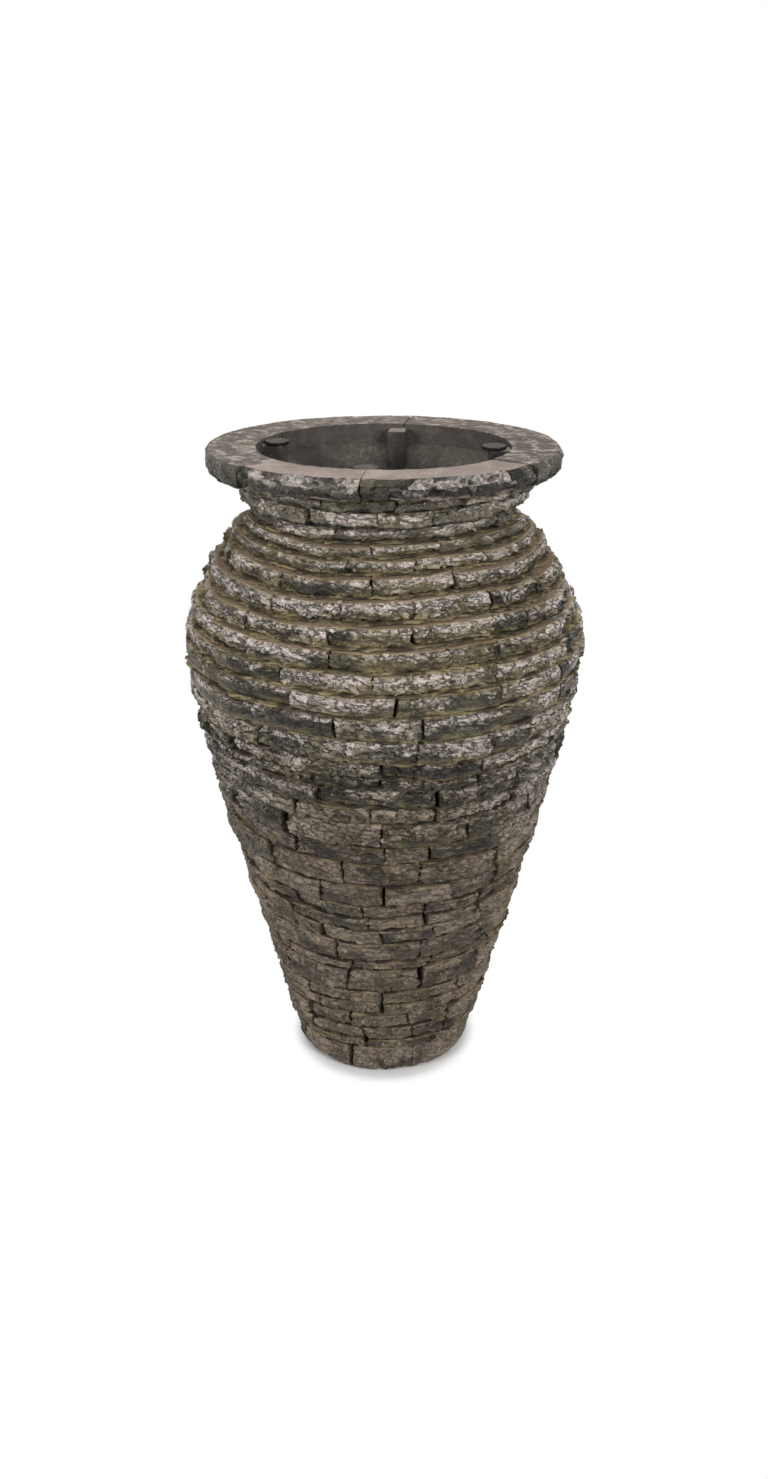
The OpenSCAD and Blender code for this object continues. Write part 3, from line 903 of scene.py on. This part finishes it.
def cement_material():
    """Brown-grey cast cement with darker stains and small pits, and paler where it faces up."""
    material, tree, shader = new_material("cast cement")
    place, height, upward = surface(tree)
    stains = noise(place, (16.0, 16.0, 9.0), 5.0, 0.62)
    grain = noise(place, 160.0, 6.0, 0.7)
    colour = mix(step(stains, 0.36, 0.62), paint(28, 26, 21), paint(71, 64, 56))
    colour = mix(step(grain, 0.5, 0.66, 0.0, 0.65), colour, paint(30, 28, 24))
    specks = step(grain, 0.34, 0.46, 0.6, 0.0) * step(stains, 0.4, 0.6)
    colour = mix(specks, colour, paint(118, 114, 106))
    near_mouth = height + stains * 0.03
    colour = mix(step(near_mouth, 0.765, 0.8, 0.0, 0.25), colour, paint(92, 83, 74))
    colour = mix(step(upward, 0.7, 0.95, 0.0, 0.7), colour, paint(138, 129, 119))
    rough = step(grain, 0.3, 0.7, 0.72, 0.9)
    set_inputs(tree, shader, {"Base Color": colour, "Roughness": rough, "Normal": bump(grain, 0.0016)})
    return material


def mortar_material():
    """Sandy mortar, brown low down and paler on the shoulder."""
    material, tree, shader = new_material("mortar")
    place, height, _ = surface(tree)
    sand = noise(place, 420.0, 5.0, 0.7)
    high = step(height, 0.42, 0.60)
    patches = noise(place, 38.0, 4.0, 0.6)
    dark = mix(high, paint(34, 29, 23), paint(66, 57, 42))
    pale = mix(high, paint(84, 74, 60), paint(156, 142, 106))
    colour = mix(step(patches, 0.42, 0.66), dark, pale)
    colour = mix(step(sand, 0.5, 0.7, 0.0, 0.5), colour, paint(60, 52, 38))
    set_inputs(tree, shader, {"Base Color": colour, "Roughness": 0.92, "Normal": bump(sand, 0.0012)})
    return material


def rubber_material():
    """Black rubber, a little dusty."""
    material, tree, shader = new_material("pad rubber")
    place, _, upward = surface(tree)
    dust = noise(place, 90.0, 5.0, 0.65)
    colour = mix(step(dust, 0.36, 0.66), paint(54, 47, 43), paint(80, 71, 65))
    colour = mix(step(upward, 0.3, 0.8, 0.95, 0.0), colour, paint(12, 11, 10))
    rough = step(dust, 0.3, 0.7, 0.42, 0.62)
    grain = bump(noise(place, 700.0, 3.0), 0.0003)
    set_inputs(tree, shader, {"Base Color": colour, "Roughness": rough, "Normal": grain})
    return material


def build_courses(tree, material):
    """One piece for each course of stones, in place of its CAD node."""
    blocks = {name: [Block(points) for points in separate_solids(NODES[name])] for name in COURSES}
    faces = [np.mean([block.face for block in blocks[name]]) for name in COURSES]
    for number, name in enumerate(COURSES):
        random = np.random.default_rng(number + 11)
        low = float(np.clip((QUIET_TOP - blocks[name][0].bottom) / QUIET_FADE, 0, 1))
        above = faces[number + 1] if number + 1 < len(COURSES) else faces[number] + COVERED
        below = faces[number - 1] if number else faces[number] + COVERED
        shapes = []
        slope = 0.9 * low * (above - faces[number]) if number < SLOPED_COURSES else 0.0
        for block in close_joints(blocks[name], faces[number], low, random):
            open_top = max(0.0, block.face - above) + OPEN_BED
            open_foot = max(0.0, block.face - below) + OPEN_BED
            shapes.append(stone(block, open_top, open_foot, low, slope, random))
        points, polygons, values = joined(shapes)
        piece = add_mesh("hewn_" + name, laid_by_hand(points), polygons, **values)
        proud = min(MOST_PROUD, WIDEST - max(block.face for block in blocks[name])) if number else 0.0
        finish_nodes(piece, tree, **{
            "Finish": material, "Proud": proud, "Swell": 0.0036 + 0.0016 * low,
            "Chip depth": 0.0036 - 0.0004 * low, "Crease depth": 0.0014, "Layer depth": 0.0008 + 0.0014 * low,
            "Groove depth": 0.0005 + 0.0014 * low, "Bite": 0.011, "Sunk": 0.0004,
        })
        keep_above_ground(piece)
        finish_piece(piece, material, [name])
    return blocks


def build_coping(tree, material):
    """The six coping slabs."""
    blocks = [Block(np.concatenate(separate_solids(NODES[name]))) for name in SLABS]
    for number, name in enumerate(SLABS):
        block, after = blocks[number], blocks[(number + 1) % len(SLABS)]
        gap = (after.middle - after.half - block.middle - block.half) % (2 * math.pi)
        shares = SLAB_JOINTS[number], SLAB_JOINTS[(number + 1) % len(SLABS)]
        start, end = (gap / 2 * (1 - share) for share in shares)
        block.wider = (start + end) / 2, (end - start) / 2
    for number, (name, block) in enumerate(zip(SLABS, blocks)):
        block.half += block.wider[0]
        block.middle += block.wider[1]
        shape = SLAB_TONES[number], SLAB_BEVELS[number], SLAB_UNDERCUTS[number]
        points, polygons, values = slab(block, *shape, np.random.default_rng(number + 71))
        piece = add_mesh("hewn_" + name, points, polygons, **values)
        finish_nodes(piece, tree, **{
            "Finish": material, "Swell": 0.003, "Chip width": 0.046, "Chip height": 0.030,
            "Chip depth": SLAB_CHIPS[number], "Crease depth": 0.0014, "Layer depth": 0.0003,
            "Groove depth": 0.0, "Bite": 0.0, "Sunk": 0.0022,
        })
        finish_piece(piece, material, [name])


def build_mortar(blocks, material):
    """The mortar comb: the jacket behind the stones, and a thin rough bed over each course."""
    levels, inner, outer = edge_levels(["mortar_bed"])
    profile = []
    for name in COURSES:
        block = blocks[name][0]
        profile += [(block.back, block.bottom), (block.back, block.top)]
        over = levels > block.top - 1e-4
        bed_top = levels[over][1] if over.sum() > 1 else levels[-1]
        forward = np.interp(block.top, *BED_FORWARD)
        bed_edge = outer[over][0] + forward
        for part in (0.3, 0.65, 1.0):
            profile.append((block.back + (bed_edge - block.back) * part, block.top))
        for part in (0.65, 0.3):
            profile.append((block.back + (bed_edge - block.back) * (part + 0.3), bed_top))
    profile += [(radius, level) for radius, level in zip(inner[::-1], levels[::-1])]
    backs = np.array([blocks[name][0].back for name in COURSES])
    front = np.array([radius for radius, _ in profile]) > backs.min() + JACKET

    def wave(turn, height):
        """A rough edge, drawn back by varying amounts, where a bed reaches out between the stones."""
        back = np.clip(0.5 + ripple(turn, height, 5, 2.0), 0, 1) * 0.0065
        return -(back + abs(ripple(turn, height, 6, 0.0010))) * front

    piece = turned("mortar_comb", profile, TURN_STEPS, wave=wave)
    places = np.array([v.co for v in piece.data.vertices])
    piece.data.vertices.foreach_set("co", laid_by_hand(places).ravel())
    piece.data.update()
    finish_piece(piece, material, ["mortar_bed"])


def build_liner(material):
    """The cast liner as one piece, with the slight unevenness of a casting on its inside."""
    levels, inner, outer = edge_levels(LINER)
    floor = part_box("liner_base")[1].z
    top = levels[-1]
    inside = levels >= floor - 1e-6
    profile = [(0.0, 0.0)]
    profile += [(r, z) for r, z in zip(outer, levels)]
    steps = np.arange(top, floor, -0.006)
    inner_levels, inner_radii = levels[inside], inner[inside].copy()
    inner_radii[0] = np.interp(inner_levels[1], inner_levels, inner_radii) - 0.001
    profile += [(np.interp(z, inner_levels, inner_radii), z) for z in steps]
    profile += [(inner_radii[0] - 0.004, floor + 0.001), (inner_radii[0] - 0.03, floor)]
    profile += [(0.04, floor), (0.0, floor)]
    count = len(levels)

    def wave(turn, height):
        """The unevenness of the casting, on the inner wall only."""
        is_inside = np.arange(len(height)) >= count
        on_wall = (height < top - 0.001) * (height > floor + 0.002)
        return abs(ripple(turn, height, 8, 0.0011)) * is_inside * on_wall

    piece = turned("cast_liner", profile, TURN_STEPS, wave=wave)
    finish_piece(piece, material, LINER)
    return inner_levels, inner_radii


def build_ribs(wall, material):
    """The four brackets inside the mouth, with worn edges, each let a little into the wall."""
    shapes = []
    corner = np.linspace(0, math.pi / 2, 5)
    for points in separate_solids(NODES["support_ribs"]):
        middle = math.atan2(points[:, 0].mean(), -points[:, 1].mean())
        across = np.array((math.cos(middle), math.sin(middle)))
        outward = np.array((math.sin(middle), -math.cos(middle)))
        half_width = abs(points[:, :2] @ across).max()
        front = (points[:, :2] @ outward).min()
        bottom, top = points[:, 2].min(), points[:, 2].max()
        upright = np.linspace(bottom, top - RIB_ROUND, 16)
        heights = np.concatenate((upright, top - RIB_ROUND * np.array((0.6, 0.3, 0.08, 0))))
        rows = []
        for height in heights:
            near_top = np.clip(1 - (top - height) / RIB_ROUND, 0, 1)
            drawn = RIB_ROUND * (1 - math.sqrt(1 - min(near_top, 0.999) ** 2))
            back = np.interp(height, *wall) + LET_IN
            side, start = half_width - drawn, front + drawn
            round_x = side - RIB_ROUND * (1 - np.sin(corner))
            round_y = start + RIB_ROUND * (1 - np.cos(corner))
            xs = np.concatenate((-round_x[::-1], round_x, [side, -side]))
            ys = np.concatenate((round_y[::-1], round_y, 2 * [max(back, start + RIB_ROUND)]))
            level = np.full((len(xs), 1), height)
            rows.append(np.concatenate((xs[:, None] * across + ys[:, None] * outward, level), 1))
        count = len(rows[0])
        faces = []
        for row in range(len(rows) - 1):
            for i in range(count):
                j = (i + 1) % count
                faces.append([row * count + i, row * count + j, (row + 1) * count + j, (row + 1) * count + i])
        faces.append(list(range(count))[::-1])
        faces.append([(len(rows) - 1) * count + i for i in range(count)])
        shapes.append((np.concatenate(rows), faces, {}))
    points, faces, _ = joined(shapes)
    piece = add_mesh("cast_ribs", points, faces)
    piece.data.shade_smooth()
    piece.data.set_sharp_from_angle(angle=math.radians(40))
    finish_piece(piece, material, ["support_ribs"])


def build_pads(material):
    """The three turned rubber pads, slightly dished, with rounded edges."""
    shapes = []
    bend = np.linspace(0, math.pi / 2, 6)
    for points in separate_solids(NODES["rubber_pads"]):
        x, y = (points[:, axis].min() / 2 + points[:, axis].max() / 2 for axis in (0, 1))
        radius = (points[:, 0].max() - points[:, 0].min()) / 2
        bottom, top = points[:, 2].min(), points[:, 2].max()
        profile = [(0, bottom), (radius - 0.001, bottom), (radius, bottom + 0.001)]
        inward, down = PAD_ROUND * (1 - np.cos(bend)), PAD_ROUND * (1 - np.sin(bend))
        profile += zip(radius - inward, top - down)
        profile += [(radius * 0.74, top - 0.0002), (radius * 0.64, top - 0.0009)]
        profile += [(radius * 0.3, top - PAD_DISH), (0, top - PAD_DISH)]
        pad = turned("pad", profile, SMALL_STEPS, centre=(x, y))
        places = np.array([v.co for v in pad.data.vertices])
        shapes.append((places, [list(face.vertices) for face in pad.data.polygons], {}))
        bpy.data.objects.remove(pad)
    points, faces, _ = joined(shapes)
    piece = add_mesh("turned_pads", points, faces)
    piece.data.shade_smooth()
    piece.data.set_sharp_from_angle(angle=math.radians(50))
    finish_piece(piece, material, ["rubber_pads"])


def build_stage():
    """White floor that keeps the soft shadow near the foot and turns plain white away from it."""
    ring = [0.0, 0.2, 0.4, 0.8, 1.6, 4.0, 12.0]
    points, faces = [(0.0, 0.0, 0.0)], []
    steps = SMALL_STEPS
    for radius in ring[1:]:
        for column in range(steps):
            turn = 2 * math.pi * column / steps
            points.append((radius * math.cos(turn), radius * math.sin(turn), 0.0))
    for column in range(steps):
        after = (column + 1) % steps
        faces.append((0, 1 + column, 1 + after))
        for row in range(len(ring) - 2):
            a, b = 1 + row * steps + column, 1 + row * steps + after
            faces.append((a, a + steps, b + steps, b))
    floor = add_mesh("floor", np.array(points), faces)
    material, tree, shader = new_material("white floor")
    set_inputs(tree, shader, {"Base Color": FLOOR_COLOUR, "Roughness": 1.0, "Specular IOR Level": 0.0})
    place = put(tree, "ShaderNodeTexCoord")["Object"]
    away = vector("DISTANCE", place, SHADOW_CENTRE, result=1)
    paths = put(tree, "ShaderNodeLightPath")
    seen = calc("MAXIMUM", paths["Is Camera Ray"], paths["Is Glossy Ray"])
    seen = calc("MAXIMUM", seen, paths["Is Transmission Ray"])
    blank = step(away, FOOT_SHADOW[0], FOOT_SHADOW[1]) * seen
    white = put(tree, "ShaderNodeEmission", {"Color": (1, 1, 1, 1), "Strength": 1.0})[0]
    shown = put(tree, "ShaderNodeMixShader", {0: blank, 1: Value(tree, shader.outputs[0]), 2: white})[0]
    set_inputs(tree, tree.nodes["Material Output"], {0: shown})
    floor.data.materials.append(material)


def build_light():
    """A soft white room, brighter overhead and at its two sides, and the four soft lamps."""
    world = bpy.data.worlds.new("white room")
    bpy.context.scene.world = world
    world.use_nodes = True
    tree = world.node_tree
    direction = put(tree, "ShaderNodeTexCoord")["Generated"]
    across, upward = axis(direction, 0), axis(direction, 2)
    level = step(upward, -0.1, 0.9, ROOM_LOW, ROOM_TOP)
    beside = step(abs(across), 0.45, 0.9, 0.0, ROOM_SIDES)
    level += beside * step(upward, 0.1, 0.45, 1.0, 0.0)
    paths = put(tree, "ShaderNodeLightPath")
    strength = calc("MAXIMUM", level, paths["Is Camera Ray"])
    set_inputs(tree, tree.nodes["Background"], {"Color": (1, 1, 1, 1), "Strength": strength})
    for name, place, aim, size, power in LAMPS:
        light = bpy.data.lights.new(name, "AREA")
        light.shape = "DISK"
        light.size = size
        light.energy = power
        lamp = bpy.data.objects.new(name, light)
        bpy.context.scene.collection.objects.link(lamp)
        lamp.location = place
        heading = Vector(aim) - Vector(place)
        lamp.rotation_euler = heading.to_track_quat("-Z", "Y").to_euler()


def build_camera():
    """The camera of the photograph, as fitted to the rim, the outline and the foot."""
    data = bpy.data.cameras.new("camera")
    data.sensor_fit = "AUTO"
    data.sensor_width = 36.0
    data.lens = LENS
    camera = bpy.data.objects.new("camera", data)
    camera.location = CAMERA_PLACE
    camera.rotation_euler = (math.radians(CAMERA_TILT), 0.0, 0.0)
    bpy.context.scene.collection.objects.link(camera)
    bpy.context.scene.camera = camera


build_camera()
build_light()
build_stage()
bpy.context.scene.view_settings.view_transform = "Standard"
HEWN = hewn_tree()
SLATE, COPING, CEMENT = slate_material(), coping_material(), cement_material()
BLOCKS = build_courses(HEWN, SLATE)
build_coping(HEWN, COPING)
build_mortar(BLOCKS, mortar_material())
WALL = build_liner(CEMENT)
build_ribs(WALL, CEMENT)
build_pads(rubber_material())
